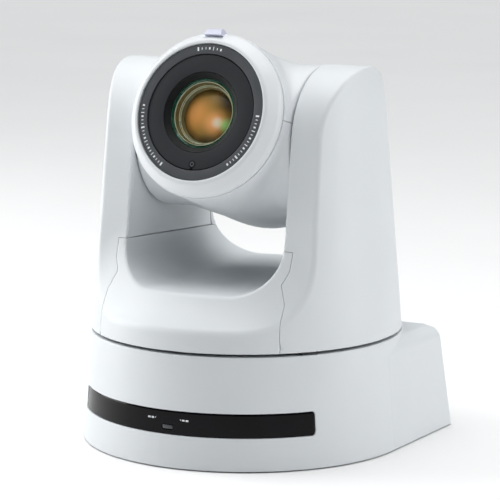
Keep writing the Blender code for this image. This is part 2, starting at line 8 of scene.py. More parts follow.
import bmesh
import bpy
import numpy as np
from math import atan2, cos, pi, radians, sin, sqrt
from mathutils import Matrix, Vector


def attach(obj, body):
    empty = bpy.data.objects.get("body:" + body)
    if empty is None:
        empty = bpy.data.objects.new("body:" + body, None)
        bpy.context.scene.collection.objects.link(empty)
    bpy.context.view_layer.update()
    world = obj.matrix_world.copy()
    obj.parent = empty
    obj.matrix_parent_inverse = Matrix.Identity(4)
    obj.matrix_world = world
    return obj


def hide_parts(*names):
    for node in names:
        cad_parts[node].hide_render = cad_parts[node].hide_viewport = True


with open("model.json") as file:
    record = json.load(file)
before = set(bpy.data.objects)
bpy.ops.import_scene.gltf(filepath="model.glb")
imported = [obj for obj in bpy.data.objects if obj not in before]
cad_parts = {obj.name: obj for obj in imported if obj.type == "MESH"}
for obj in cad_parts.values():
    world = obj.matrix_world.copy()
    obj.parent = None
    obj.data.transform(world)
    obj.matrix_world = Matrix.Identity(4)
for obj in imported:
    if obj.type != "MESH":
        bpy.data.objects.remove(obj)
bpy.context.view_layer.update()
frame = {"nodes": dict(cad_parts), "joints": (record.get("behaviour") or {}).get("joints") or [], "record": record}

MM = 0.001
joints = {joint["name"]: joint for joint in frame["joints"]}
PAN = Vector(joints["pan"]["pos_m"])
PAN.z = 0.0
TILT = Vector(joints["tilt"]["pos_m"])
LENS_AXIS = Vector(joints["zoom"]["axis"])
REST_TILT = atan2(LENS_AXIS.z, -LENS_AXIS.y)
AT_PAN = Matrix.Translation(PAN) @ Matrix.Scale(MM, 4)
AT_TILT = Matrix.Translation(TILT) @ Matrix.Rotation(-REST_TILT, 4, "X") @ Matrix.Scale(MM, 4)
FORWARD = Matrix.Rotation(radians(90), 4, "X")      # turned outlines: +Z becomes the lens direction
TO_REAR = Matrix.Rotation(radians(-90), 4, "X")     # +Z becomes +Y

# ---- sizes, in millimetres, as in the CAD ---------------------------------------------------------
TILT_Z = (TILT.z - PAN.z) / MM
BASE_RADIUS = 85.0
SEAT_RADIUS = 80.3
SEAT_Z = 56.6
BASE_BOTTOM = 0.7
BASE_DRAFT = (BASE_RADIUS - SEAT_RADIUS) / SEAT_Z
FLANK_FLARE = radians(2.2)
BLOCK_REAR, BLOCK_REAR_TOP = 67.6, 60.4
DECK_Z = 54.8
DECK_ROUND = 7.0
CANOPY_Z = 46.0
BASE_WALL = 2.6
WINDOW_Z = 22.95
WINDOW_HALF_HEIGHT = 6.05
WINDOW_HALF_ANGLE = radians(52.0)
INDEX_ANGLE = radians(50.8)
PANEL_HALF, PANEL_LOW, PANEL_HIGH, PANEL_Y = 72.0, 7.0, 43.0, 57.4
YOKE_BOTTOM = 58.2
YOKE_RADIUS = 80.3
YOKE_TAPER = 0.0805
YOKE_WALL = 2.4
ARM_TOP_RADIUS = 38.4
ARM_SPLAY = radians(7.1)
APRON_SUM = 147.7                  # radius plus height on the 45 degree front facet
APRON_FILLET = 22.0
GAP_HALF, GAP_FLOOR, GAP_CORNER = 44.6, 84.0, 22.0
SEAM_Z = 103.2
SEAM_FALL = 0.058                  # the seam inside the arms sinks this much per millimetre to the rear
SEAM = ((50.0, 51.3), (81.0, 50.3), (90.0, 46.6), (96.5, 49.4), (107.5, 49.8))   # (height, half width)
HAIRLINE = 0.11                    # half the gap of a parting line
BEZEL_FRONT = 52.8
CASE_FRONT, CASE_RADIUS = 43.2, 42.0
BARREL_RADIUS = 42.3
TAIL_START, TAIL_LENGTH, TAIL_SHAPE = -12.0, 45.0, 4.0
DRUM_RADIUS, HUB_END = 37.8, 43.9
HUB_FILLET = 5.0
LAMP_SIDE = ((52.3, 39.4), (50.3, 42.4), (48.6, 43.17), (46.2, 43.08), (44.2, 41.6), (43.7, 38.9))
LAMP_HALF = 5.0
CASE_WALL = 2.2
SHELL_CELL = 1.0                   # mesh size of the large shells
STATUS_Z = 20.6                    # middle of the status light
TICK_LOW, TICK_HIGH = 24.1, 24.9   # ticks beside it
TICK_FIRST, TICK_STEP, TICK_HALF = 4.6, 2.0, 0.7
EYELET_Z, NOTCH_Z = -26.4, -29.4   # small hole in the dark plate and the notch under it
MARK_RADIUS = 32.3
VIDEO_ROW, HDMI_ROW, LOW_ROW, NETWORK_ROW = 32.0, 33.9, 15.5, 18.75     # heights of the sockets
SHELL_DEPTH, SHELL_RISE = 8.8, 2.0                                     # sockets behind and before the panel

# ---- studio and camera, in metres -----------------------------------------------------------------
LIGHT_AIM = (0.0, 0.0, 0.12)
SOFTBOXES = (("left_softbox", (-1.10, -0.20, 0.45), (0.7, 1.0), 10.2),
             ("right_softbox", (1.05, 0.30, 0.40), (0.6, 0.9), 5.0),
             ("top_softbox", (-0.08, -0.16, 0.66), (0.45, 0.45), 0.8))      # name, place, size, power
OVERHEAD_STRENGTH, OVERHEAD_SPREAD = 2.3, radians(70)
WORLD_COLOUR, WORLD_STRENGTH = (0.88, 0.95, 1.0, 1.0), 0.11
VIEW_AZIMUTH, VIEW_ELEVATION = radians(28.0), radians(9.44)
VIEW_DISTANCE = 1.260
VIEW_AIM = (0.00169, 0.09655)      # sideways and up from the foot of the pan axis
SENSOR_WIDTH, VIEW_LENS = 36.0, 175.752     # millimetres


# ---- solids as distance fields ----------------------------------------------------------------------
def round_max(a, b, r):
    """Common part of two solids, with its edge rounded to radius r."""
    return np.minimum(np.maximum(a, b), -r) + np.hypot(np.maximum(a + r, 0), np.maximum(b + r, 0))


def round_min(a, b, r):
    """Union of two solids, with a fillet of radius r in the corner."""
    return np.maximum(np.minimum(a, b), r) - np.hypot(np.maximum(r - a, 0), np.maximum(r - b, 0))


def smooth_step(value, low, high):
    t = np.clip((value - low) / (high - low), 0.0, 1.0)
    return t * t * (3 - 2 * t)


def rounded_box_2d(a, b, half_a, half_b, corner):
    qa = np.abs(a) - (half_a - corner)
    qb = np.abs(b) - (half_b - corner)
    return np.hypot(np.maximum(qa, 0), np.maximum(qb, 0)) + np.minimum(np.maximum(qa, qb), 0) - corner


def contour(field, low, high, cell):
    """Surface of field(x, y, z) = 0 as quads, by dual contouring, so that sharp edges stay sharp."""
    axes = [np.arange(a - 2 * cell, b + 3 * cell, cell) for a, b in zip(low, high)]
    origin = np.array([a[0] for a in axes])
    size = np.array([len(a) for a in axes])
    slices = []
    for i in range(0, size[0], 8):
        across = axes[0][i:i + 8, None, None]
        found = field(across, axes[1][None, :, None], axes[2][None, None, :])
        slices.append(found + np.zeros((len(across), size[1], size[2])))
    value = np.concatenate(slices)
    inside = value < 0
    points, normals, cells, corners = [], [], [], []
    for axis in range(3):
        near = [slice(None)] * 3
        far = [slice(None)] * 3
        near[axis], far[axis] = slice(None, -1), slice(1, None)
        near, far = tuple(near), tuple(far)
        index = np.argwhere(inside[near] != inside[far])
        step = np.eye(3, dtype=int)[axis]
        start = origin + index * cell
        value_low = value[tuple(index.T)]
        value_high = value[tuple((index + step).T)]
        enters = value_low < 0
        t_low, t_high = np.zeros(len(index)), np.ones(len(index))
        for _ in range(5):
            t = t_low + (t_high - t_low) * np.clip(value_low / (value_low - value_high), 0.05, 0.95)
            spot = start + t[:, None] * step * cell
            found = field(spot[:, 0], spot[:, 1], spot[:, 2])
            same = (found < 0) == (value_low < 0)
            t_low, value_low = np.where(same, t, t_low), np.where(same, found, value_low)
            t_high, value_high = np.where(same, t_high, t), np.where(same, value_high, found)
        t = t_low + (t_high - t_low) * value_low / (value_low - value_high)
        spot = start + t[:, None] * step * cell
        slope = gradient(field, spot)
        side_a, side_b = np.eye(3, dtype=int)[(axis + 1) % 3], np.eye(3, dtype=int)[(axis + 2) % 3]
        ring = [index, index - side_a, index - side_a - side_b, index - side_b]
        ids = np.stack([(c[:, 0] * size[1] + c[:, 1]) * size[2] + c[:, 2] for c in ring], axis=1)
        ids[~enters] = ids[~enters][:, ::-1]
        corners.append(ids)
        for column in range(4):
            points.append(spot)
            normals.append(slope)
            cells.append(ids[:, column])
    points, normals = np.concatenate(points), np.concatenate(normals)
    names, group = np.unique(np.concatenate(cells), return_inverse=True)
    place = np.stack(np.unravel_index(names, size), axis=1)
    middle = origin + (place + 0.5) * cell
    local = points - middle[group]
    count = np.bincount(group)
    mass = np.stack([np.bincount(group, local[:, k]) for k in range(3)], axis=1) / count[:, None]
    pull = np.einsum("ij,ij->i", normals, local)
    matrix = np.empty((len(names), 3, 3))
    right = np.empty((len(names), 3))
    for i in range(3):
        right[:, i] = np.bincount(group, normals[:, i] * pull)
        for j in range(3):
            matrix[:, i, j] = np.bincount(group, normals[:, i] * normals[:, j])
    hold = 0.04 * count
    matrix += hold[:, None, None] * np.eye(3)
    right += hold[:, None] * mass
    answer = np.linalg.solve(matrix, right[:, :, None])[:, :, 0]
    answer = np.clip(answer, -0.5 * cell, 0.5 * cell)
    faces = np.searchsorted(names, np.concatenate(corners))
    return middle + answer, faces


def gradient(field, spot, reach=0.03):
    slope = np.empty_like(spot)
    for k in range(3):
        ahead, behind = spot.copy(), spot.copy()
        ahead[:, k] += reach
        behind[:, k] -= reach
        slope[:, k] = field(*ahead.T) - field(*behind.T)
    return slope / np.maximum(np.linalg.norm(slope, axis=1), 1e-9)[:, None]


# ---- pieces ------------------------------------------------------------------------------------------
def finish_piece(mesh, name, body, slot, finish, replaced=(), place=AT_PAN, sharp=32.0):
    """Names a millimetre mesh, puts it in place, ties it to its body and hides the CAD nodes it replaces; the slot
    is not used.
    """
    mesh.transform(place)
    mesh.name = name
    mesh.materials.clear()
    mesh.materials.append(finish)
    mesh.shade_smooth()
    mesh.set_sharp_from_angle(angle=radians(sharp))
    piece = bpy.data.objects.new(name, mesh)
    bpy.context.scene.collection.objects.link(piece)
    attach(piece, body)
    if replaced:
        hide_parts(*replaced)
    return piece


def field_piece(field, low, high, cell, name, *rest, **more):
    verts, faces = contour(field, low, high, cell)
    mesh = bpy.data.meshes.new(name)
    mesh.vertices.add(len(verts))
    mesh.vertices.foreach_set("co", verts.astype(np.float32).ravel())
    mesh.loops.add(faces.size)
    mesh.loops.foreach_set("vertex_index", faces.astype(np.int32).ravel())
    mesh.polygons.add(len(faces))
    mesh.polygons.foreach_set("loop_start", np.arange(0, faces.size, 4, dtype=np.int32))
    mesh.update(calc_edges=True)
    mesh.validate()
    return finish_piece(mesh, name, *rest, **more)


def bmesh_piece(bm, name, *rest, bevel=0.0, bevel_angle=30.0, **more):
    """Turns a bmesh into a piece, its edges rounded by a bevel in millimetres."""
    if bevel:
        limit = radians(bevel_angle)
        edges = [e for e in bm.edges if e.is_manifold and e.calc_face_angle(0.0) > limit]
        bmesh.ops.bevel(bm, geom=edges, offset=bevel, segments=2, affect="EDGES", profile=0.5,
                        clamp_overlap=True)
    bmesh.ops.recalc_face_normals(bm, faces=bm.faces)
    mesh = bpy.data.meshes.new(name)
    bm.to_mesh(mesh)
    bm.free()
    return finish_piece(mesh, name, *rest, **more)


def soft_outline(profile, radius, steps=3):
    """A closed outline with every corner rounded."""
    points = []
    count = len(profile)
    for k in range(count):
        before, here, after = (np.array(profile[j % count], float) for j in (k - 1, k, k + 1))
        if here[0] < 1e-6:
            points.append(tuple(here))
            continue
        back, onward = before - here, after - here
        reach = min(radius, 0.45 * np.hypot(*back), 0.45 * np.hypot(*onward))
        a = here + back / np.hypot(*back) * reach
        b = here + onward / np.hypot(*onward) * reach
        for s in range(steps + 1):
            t = s / steps
            points.append(tuple((1 - t) ** 2 * a + 2 * t * (1 - t) * here + t * t * b))
    return points


def turned(profile, segments=144, radius=0.25, turn=FORWARD, offset=(0, 0, 0)):
    """A closed (radius, height) outline turned all round."""
    outline = soft_outline(profile, radius) if radius else list(profile)
    bm = bmesh.new()
    rings = []
    for step in range(segments):
        angle = 2 * pi * step / segments
        ring = []
        for k, (r, h) in enumerate(outline):
            if r < 1e-6 and step:
                ring.append(rings[0][k])
            else:
                ring.append(bm.verts.new((r * cos(angle), r * sin(angle), h)))
        rings.append(ring)
    for step in range(segments):
        near, far = rings[step], rings[(step + 1) % segments]
        for a in range(len(outline)):
            b = (a + 1) % len(outline)
            corners = []
            for vert in (near[a], near[b], far[b], far[a]):
                if vert not in corners:
                    corners.append(vert)
            if len(corners) > 2:
                bm.faces.new(corners)
    bmesh.ops.transform(bm, matrix=Matrix.Translation(Vector(offset)) @ turn, verts=bm.verts)
    return bm


def add_box(bm, low, high, matrix=Matrix.Identity(4)):
    """Adds a box to a bmesh."""
    size = Matrix.Diagonal([b - a for a, b in zip(low, high)] + [1.0])
    middle = Matrix.Translation([(a + b) / 2 for a, b in zip(low, high)])
    bmesh.ops.create_cube(bm, size=1.0, matrix=matrix @ middle @ size)
    return bm


def merged(*parts):
    """One bmesh from several."""
    whole = bmesh.new()
    for part in parts:
        carrier = bpy.data.meshes.new("carrier")
        part.to_mesh(carrier)
        part.free()
        whole.from_mesh(carrier)
        bpy.data.meshes.remove(carrier)
    return whole


# ---- materials -----------------------------------------------------------------------------------------
class Finish:
    """Builds one node material: a Principled shader with grain, mottling and bump."""

    def __init__(self, name, colour, roughness, metallic=0.0, **sockets):
        self.material = bpy.data.materials.new(name)
        self.material.use_nodes = True
        self.tree = self.material.node_tree
        self.shader = self.tree.nodes["Principled BSDF"]
        self.shader.inputs["Base Color"].default_value = (*colour, 1.0)
        self.shader.inputs["Roughness"].default_value = roughness
        self.shader.inputs["Metallic"].default_value = metallic
        for label, value in sockets.items():
            self.shader.inputs[label.replace("_", " ")].default_value = value
        self.colour, self.roughness = colour, roughness
        self.coordinates = self.tree.nodes.new("ShaderNodeTexCoord").outputs["Object"]
        self.heights = []

    def node(self, kind, inputs=(), **settings):
        made = self.tree.nodes.new(kind)
        for label, value in settings.items():
            setattr(made, label, value)
        for socket, value in dict(inputs).items():
            if hasattr(value, "is_linked"):
                self.tree.links.new(value, made.inputs[socket])
            else:
                made.inputs[socket].default_value = value
        return made

    def noise(self, scale, detail=3.0, vector=None):
        inputs = {"Vector": vector or self.coordinates, "Scale": scale, "Detail": detail}
        return self.node("ShaderNodeTexNoise", inputs).outputs["Fac"]

    def spread(self, value, low, high, from_low=0.3, from_high=0.7):
        inputs = {"Value": value, "From Min": from_low, "From Max": from_high, "To Min": low, "To Max": high}
        return self.node("ShaderNodeMapRange", inputs).outputs["Result"]

    def mottle(self, scale, amount, other=None, detail=4.0):
        """Lets the colour wander between its own value and a slightly different one."""
        other = other or tuple(c * (1 - amount) for c in self.colour)
        mix = self.node("ShaderNodeMix", data_type="RGBA")
        self.tree.links.new(self.spread(self.noise(scale, detail), 0.0, 1.0), mix.inputs["Factor"])
        mix.inputs["A"].default_value = (*self.colour, 1.0)
        mix.inputs["B"].default_value = (*other, 1.0)
        self.tree.links.new(mix.outputs["Result"], self.shader.inputs["Base Color"])
        return self

    def rub(self, scale, amount, detail=5.0):
        """Lets the roughness wander."""
        spread = self.spread(self.noise(scale, detail), self.roughness - amount, self.roughness + amount)
        self.tree.links.new(spread, self.shader.inputs["Roughness"])
        return self

    def grain(self, scale, distance, strength=0.5, detail=2.0):
        """Adds a fine moulded or cast texture as bump. The distance is in metres."""
        bump = self.node("ShaderNodeBump", {"Strength": strength, "Distance": distance,
                                            "Height": self.noise(scale, detail)})
        if self.heights:
            self.tree.links.new(self.heights[-1].outputs["Normal"], bump.inputs["Normal"])
        self.tree.links.new(bump.outputs["Normal"], self.shader.inputs["Normal"])
        self.heights.append(bump)
        return self

    def brushed(self, scale, distance):
        """Adds turned or brushed lines along X."""
        squash = self.node("ShaderNodeMapping", {"Vector": self.coordinates, "Scale": (0.04, 1.0, 1.0)})
        bump = self.node("ShaderNodeBump", {"Strength": 0.4, "Distance": distance,
                                            "Height": self.noise(scale, 2.0, squash.outputs["Vector"])})
        self.tree.links.new(bump.outputs["Normal"], self.shader.inputs["Normal"])
        self.heights.append(bump)
        return self


def make_finishes():
    finish = {}
    shell = Finish("white_shell", (0.735, 0.765, 0.785), 0.42, Specular_IOR_Level=0.4)
    finish["shell"] = shell.mottle(28.0, 0.025).rub(60.0, 0.05).grain(2600.0, 0.00002, 0.30).material
    case = Finish("white_case", (0.755, 0.78, 0.80), 0.36, Specular_IOR_Level=0.45)
    finish["case"] = case.mottle(30.0, 0.02).rub(70.0, 0.05).grain(3200.0, 0.000012, 0.22).material
    window = Finish("window_gloss", (0.001, 0.001, 0.0015), 0.05, Specular_IOR_Level=0.14)
    finish["window"] = window.mottle(40.0, 0.0, (0.004, 0.003, 0.005)).rub(90.0, 0.02).material
    dark = Finish("dark_plastic", (0.022, 0.024, 0.027), 0.5)
    finish["dark"] = dark.mottle(60.0, 0.2).rub(120.0, 0.08).grain(2400.0, 0.00003, 0.4).material
    ring = Finish("ring_plastic", (0.075, 0.080, 0.088), 0.42)
    finish["ring"] = ring.mottle(50.0, 0.15).rub(120.0, 0.06).grain(3000.0, 0.00002, 0.3).material
    plate = Finish("plate_plastic", (0.020, 0.022, 0.026), 0.6, Specular_IOR_Level=0.3)
    finish["plate"] = plate.mottle(50.0, 0.12).rub(120.0, 0.06).grain(3400.0, 0.00002, 0.35).material
    mark = Finish("mark_paint", (0.88, 0.90, 0.92), 0.5)
    finish["mark"] = mark.mottle(300.0, 0.1).rub(300.0, 0.05).material
    rubber = Finish("rubber", (0.03, 0.03, 0.031), 0.8)
    finish["rubber"] = rubber.mottle(80.0, 0.25).rub(90.0, 0.08).grain(1500.0, 0.00006, 0.5).material
    steel = Finish("steel", (0.55, 0.56, 0.58), 0.32, 1.0)
    finish["steel"] = steel.mottle(60.0, 0.12).rub(140.0, 0.08).brushed(900.0, 0.00001).material
    cast = Finish("cast_metal", (0.52, 0.53, 0.54), 0.48, 1.0)
    finish["cast"] = cast.mottle(70.0, 0.15).rub(100.0, 0.1).grain(1200.0, 0.00005, 0.5).material
    brass = Finish("brass", (0.70, 0.52, 0.24), 0.26, 1.0)
    finish["brass"] = brass.mottle(90.0, 0.15).rub(160.0, 0.08).brushed(1200.0, 0.00001).material
    plated = Finish("connector_metal", (0.66, 0.66, 0.65), 0.22, 1.0)
    finish["plated"] = plated.mottle(90.0, 0.1).rub(200.0, 0.07).brushed(1500.0, 0.000008).material
    gold = Finish("gold_contact", (0.85, 0.62, 0.25), 0.2, 1.0)
    finish["gold"] = gold.mottle(200.0, 0.1).rub(300.0, 0.05).material
    board = Finish("circuit_board", (0.02, 0.15, 0.07), 0.42, Coat_Weight=0.3, Coat_Roughness=0.2)
    finish["board"] = board.mottle(220.0, 0.45).rub(120.0, 0.08).grain(700.0, 0.00008, 0.6).material
    coil = Finish("coil_copper", (0.62, 0.30, 0.12), 0.3, 1.0)
    finish["coil"] = coil.mottle(160.0, 0.3).rub(200.0, 0.08).brushed(500.0, 0.0001).material
    magnet = Finish("magnet", (0.12, 0.12, 0.13), 0.35, 1.0)
    finish["magnet"] = magnet.mottle(120.0, 0.2).rub(150.0, 0.08).grain(900.0, 0.00003, 0.4).material
    lamp = Finish("lamp_lens", (0.60, 0.62, 0.74), 0.28, Transmission_Weight=0.25, Subsurface_Weight=0.2)
    finish["lamp"] = lamp.mottle(200.0, 0.08).rub(200.0, 0.05).material
    seat = Finish("green_seat", (0.03, 0.14, 0.09), 0.25, Coat_Weight=0.5, Coat_Roughness=0.1)
    finish["seat"] = seat.mottle(120.0, 0.5).rub(150.0, 0.08).material
    wall = Finish("amber_wall", (0.24, 0.17, 0.08), 0.3, Coat_Weight=0.6, Coat_Roughness=0.1)
    finish["amber_wall"] = wall.mottle(150.0, 0.5, (0.15, 0.14, 0.07)).rub(150.0, 0.08).material
    trim = Finish("polished_trim", (0.86, 0.92, 0.80), 0.3, 0.3)
    finish["trim"] = trim.mottle(140.0, 0.5, (0.80, 0.70, 0.45)).rub(200.0, 0.08).material
    tally = Finish("tally_lens", (0.62, 0.64, 0.76), 0.35, Specular_IOR_Level=0.4)
    finish["tally"] = tally.mottle(260.0, 0.06).rub(200.0, 0.05).material
    finish["glass"] = glass_material("front_glass")
    finish["amber"] = coated_element("amber_element")
    inner = Finish("inner_barrel", (0.010, 0.010, 0.011), 0.5, Specular_IOR_Level=0.25)
    finish["inner"] = inner.mottle(100.0, 0.3).rub(160.0, 0.1).grain(1800.0, 0.00004, 0.4).material
    # Flat black for painted shade: discs and bars that stand in for the shade inside the eyelet, its notch and the
    # screw slot.
    groove = Finish("groove_black", (0.002, 0.002, 0.002), 0.8, Specular_IOR_Level=0.1)
    finish["groove"] = groove.mottle(100.0, 0.3).rub(160.0, 0.05).material
    return finish


def glass_material(name):
    """Thin clear glass that lets light through without noise, with a coated gloss."""
    made = Finish(name, (0.93, 0.98, 0.95), 0.01)
    tree = made.tree
    clear = made.node("ShaderNodeBsdfTransparent", {"Color": (0.98, 1.0, 0.98, 1.0)})
    gloss = made.node("ShaderNodeBsdfGlossy", {"Color": (0.55, 0.85, 0.62, 1.0)})
    smear = made.spread(made.noise(60.0, 3.0), 0.012, 0.04)
    tree.links.new(smear, gloss.inputs["Roughness"])
    facing = made.node("ShaderNodeFresnel", {"IOR": 1.09})
    mix = made.node("ShaderNodeMixShader")
    tree.links.new(facing.outputs["Fac"], mix.inputs["Fac"])
    tree.links.new(clear.outputs["BSDF"], mix.inputs[1])
    tree.links.new(gloss.outputs["BSDF"], mix.inputs[2])
    tree.links.new(mix.outputs["Shader"], tree.nodes["Material Output"].inputs["Surface"])
    tree.nodes.remove(made.shader)
    return made.material


def coated_element(name):
    """Deep lens element: amber coating with painted reflections and a painted highlight in soft dark, orange, pale
    and green patches, and painted shade that makes it darker to the edge.

    Each painted reflection is (place across and up from the lens axis, reach, colour), in millimetres. They are
    fixed to the element, and paint the reflections of the lights in its coatings into the base colour.
    """
    # Painted reflections: dark, orange and green patches, and a pale painted highlight.
    painted_reflections = (((11.5, 8.5), 12.0, (0.06, 0.03, 0.003)), ((1.0, -15.0), 8.5, (0.16, 0.10, 0.015)),
               ((0.0, 14.5), 7.0, (0.22, 0.13, 0.02)), ((-6.0, 0.5), 13.0, (0.80, 0.33, 0.09)),
               ((4.8, -3.6), 9.5, (1.0, 0.42, 0.16)), ((6.2, -3.4), 4.6, (1.0, 0.82, 0.66)),
               ((11.8, -4.8), 6.0, (0.55, 1.0, 0.35)))
    made = Finish(name, (0.40, 0.21, 0.045), 0.4, Specular_IOR_Level=0.3, Coat_Weight=0.15,
                  Coat_Roughness=0.15)
    tree = made.tree
    colour = None
    for (across, rise), reach, tint in painted_reflections:
        place = AT_TILT @ Vector((across, -43.5, rise))
        distance = made.node("ShaderNodeVectorMath", {0: made.coordinates, 1: place}, operation="DISTANCE")
        amount = made.node("ShaderNodeMapRange", {"Value": distance.outputs["Value"], "From Min": 0.0,
                                                  "From Max": reach * MM, "To Min": 1.0, "To Max": 0.0},
                           interpolation_type="SMOOTHERSTEP")
        mix = made.node("ShaderNodeMix", data_type="RGBA")
        tree.links.new(amount.outputs["Result"], mix.inputs["Factor"])
        if colour:
            tree.links.new(colour, mix.inputs["A"])
        else:
            mix.inputs["A"].default_value = (*made.colour, 1.0)
        mix.inputs["B"].default_value = (*tint, 1.0)
        colour = mix.outputs["Result"]
    # Painted shade: the colour is darkened towards the rim of the element.
    middle = AT_TILT @ Vector((0, -43.0, 0))
    distance = made.node("ShaderNodeVectorMath", {0: made.coordinates, 1: middle}, operation="DISTANCE")
    edge = made.spread(distance.outputs["Value"], 1.0, 0.35, 0.0095, 0.0135)
    painted_rim_shade = made.node("ShaderNodeMix", data_type="RGBA", blend_type="MULTIPLY")
    painted_rim_shade.inputs["Factor"].default_value = 1.0
    tree.links.new(colour, painted_rim_shade.inputs["A"])
    tree.links.new(edge, painted_rim_shade.inputs["B"])
    tree.links.new(painted_rim_shade.outputs["Result"], made.shader.inputs["Base Color"])
    return made.rub(120.0, 0.04).material


FINISH = make_finishes()


# ---- base ------------------------------------------------------------------------------------------------
def base_outside(x, y, z):
    """Distance field of the base without its openings.

    The wall is round in front and runs on tangentially, slightly flared, to the rear corners.
    """
    across, along = np.abs(x), y
    cone = np.hypot(across, along) - (BASE_RADIUS - BASE_DRAFT * z)
    flank = across * cos(FLANK_FLARE) - along * sin(FLANK_FLARE) - (BASE_RADIUS - BASE_DRAFT * z)
    beyond = across * sin(FLANK_FLARE) + along * cos(FLANK_FLARE) > 0
    wall = np.where(beyond & (across > 30.0), flank, cone)
    rear = y - (BLOCK_REAR + (BLOCK_REAR_TOP - BLOCK_REAR) * z / DECK_Z)
    block = round_max(np.where(y > 0, np.where(across > 30.0, wall, -40.0), cone), rear, 2.5)
    block = round_max(block, z - DECK_Z, DECK_ROUND - 4.0 * smooth_step(-wall, 4.0, 9.0))
    seat = round_max(cone, z - SEAT_Z, 0.7)
    below = np.maximum(BLOCK_REAR_TOP - 4.0 - y, z - CANOPY_Z)
    seat = round_max(seat, -below, 0.6)
    fillet = 0.05 + 3.0 * smooth_step(z, 49.0, 54.0) * smooth_step(-wall, 1.0, 6.0)
    return round_min(seat, block, fillet)


def window_outline(x, y, z, grow):
    along = np.arctan2(x, -y) * BASE_RADIUS
    half = WINDOW_HALF_ANGLE * BASE_RADIUS + grow
    flat = rounded_box_2d(along, z - WINDOW_Z, half, WINDOW_HALF_HEIGHT + grow, 2.0 + grow)
    return np.maximum(flat, 60.0 - np.hypot(x, y))


def base_field(x, y, z):
    outside = base_outside(x, y, z)
    shell = round_max(outside, -(outside + BASE_WALL), 0.3)
    shell = round_max(shell, BASE_BOTTOM - z, 0.3)
    shell = round_max(shell, -window_outline(x, y, z, 0.0), 0.35)
    recess = rounded_box_2d(x, z - (PANEL_LOW + PANEL_HIGH) / 2, PANEL_HALF, (PANEL_HIGH - PANEL_LOW) / 2, 2.0)
    recess = np.maximum(recess, PANEL_Y - 2.0 - y)
    shell = round_max(shell, -recess, 0.5)
    hole = np.maximum(np.hypot(x, y) - 28.0, SEAT_Z - 12.0 - z)
    return np.maximum(shell, -hole)


def window_field(x, y, z):
    depth = np.hypot(x, y) - (BASE_RADIUS - BASE_DRAFT * z)
    slab = np.abs(depth + 1.35) - 1.0
    light = rounded_box_2d(x, z - STATUS_Z, 3.3, 1.4, 1.3)
    light = np.maximum(light, y)
    return np.maximum(round_max(slab, window_outline(x, y, z, -0.22), 0.3), -light)


def build_base():
    field_piece(base_field, (-89, -86, 0), (89, 82, 57), SHELL_CELL, "base_shell", "base", "white_shell",
                FINISH["shell"], ("base_housing",))
    field_piece(window_field, (-68, -85, 16), (68, -45, 30), 0.6, "window_strip", "base", "dark_gloss",
                FINISH["window"], ("front_window",))
    index = bmesh.new()
    add_box(index, (-3.9, -SEAT_RADIUS + 0.9, SEAT_Z - 1.0), (3.9, -SEAT_RADIUS + 5.0, SEAT_Z + 1.15),
            Matrix.Rotation(INDEX_ANGLE, 4, "Z"))
    bmesh_piece(index, "pan_index", "base", "dark_plastic", FINISH["dark"], bevel=0.2)
    marks = bmesh.new()
    face_y = 0.28 - sqrt((BASE_RADIUS - BASE_DRAFT * 24.6) ** 2 - 59.0)
    for side in (-1, 1):
        for k in range(4):
            place = side * (TICK_FIRST + TICK_STEP * k)
            add_box(marks, (place - TICK_HALF, face_y, TICK_LOW), (place + TICK_HALF, face_y + 0.5, TICK_HIGH))
    bmesh_piece(marks, "window_marks", "base", "white_case", FINISH["mark"])
    light_y = BASE_DRAFT * STATUS_Z - BASE_RADIUS
    lens = add_box(bmesh.new(), (-3.0, light_y + 0.3, 19.5), (3.0, light_y + 2.4, 21.7))
    bmesh_piece(lens, "status_lens", "base", "lamp_lens", FINISH["ring"], ("status_light",), bevel=0.7)


# ---- turntable --------------------------------------------------------------------------------------------
def arm_field(y, z):
    """Side view of the arms: a round top and straight, slightly splayed edges."""
    rise = z - TILT_Z
    reach = np.abs(y)
    splayed = reach * cos(ARM_SPLAY) + rise * sin(ARM_SPLAY) - ARM_TOP_RADIUS
    crown = np.hypot(y, rise) - ARM_TOP_RADIUS
    return np.where(rise * cos(ARM_SPLAY) > reach * sin(ARM_SPLAY), crown, splayed)


def yoke_outside(x, y, z):
    """Distance field of the yoke without the space between its arms."""
    radius = np.hypot(x, y)
    arm = arm_field(y, z)
    apron = (radius + z - APRON_SUM) / sqrt(2)
    body = round_min(arm, apron, APRON_FILLET)
    band = 0.4 * smooth_step(z, 88.0, 125.0) * np.clip(1 + arm / 9.5, 0.0, 1.0)
    cone = radius - (YOKE_RADIUS - YOKE_TAPER * (z - YOKE_BOTTOM)) + band
    return round_max(cone, body, 1.3)


def gap_field(x, z):
    """Section of the space between the arms."""
    qx = np.abs(x) - (GAP_HALF - GAP_CORNER)
    qz = GAP_FLOOR + GAP_CORNER - z
    return np.hypot(np.maximum(qx, 0), np.maximum(qz, 0)) + np.minimum(np.maximum(qx, qz), 0) - GAP_CORNER


def yoke_shell(x, y, z):
    solid = round_max(yoke_outside(x, y, z), -gap_field(x, z), 1.2)
    shell = round_max(solid, -(solid + YOKE_WALL), 0.2)
    return round_max(shell, YOKE_BOTTOM - z, 0.4)


def centre_column(x, y, z):
    """Column between the seams beside the apron, under the sloping seam inside the arms."""
    heights, halves = zip(*SEAM)
    return np.maximum(np.abs(x) - np.interp(z, heights, halves), z - SEAM_Z + SEAM_FALL * y)


def centre_field(x, y, z):
    return round_max(yoke_shell(x, y, z), centre_column(x, y, z) + HAIRLINE, 0.25)


def inner_panel_zone(x, y, z, side, grow):
    """Slab inside an arm's rim, from the seam to the round top."""
    outline = np.maximum(arm_field(y, z) + 2.6, SEAM_Z + 2 * HAIRLINE - z - SEAM_FALL * y)
    return np.maximum(outline - grow, np.maximum(GAP_HALF - 1.0 - side * x, side * x - 47.3 - grow))


def arm_cover_field(side):
    def field(x, y, z):
        arm = np.maximum(yoke_shell(x, y, z), HAIRLINE - centre_column(x, y, z))
        arm = np.maximum(arm, 10.0 - side * x)
        return round_max(arm, -inner_panel_zone(x, y, z, side, 0.3), 0.25)
    return field


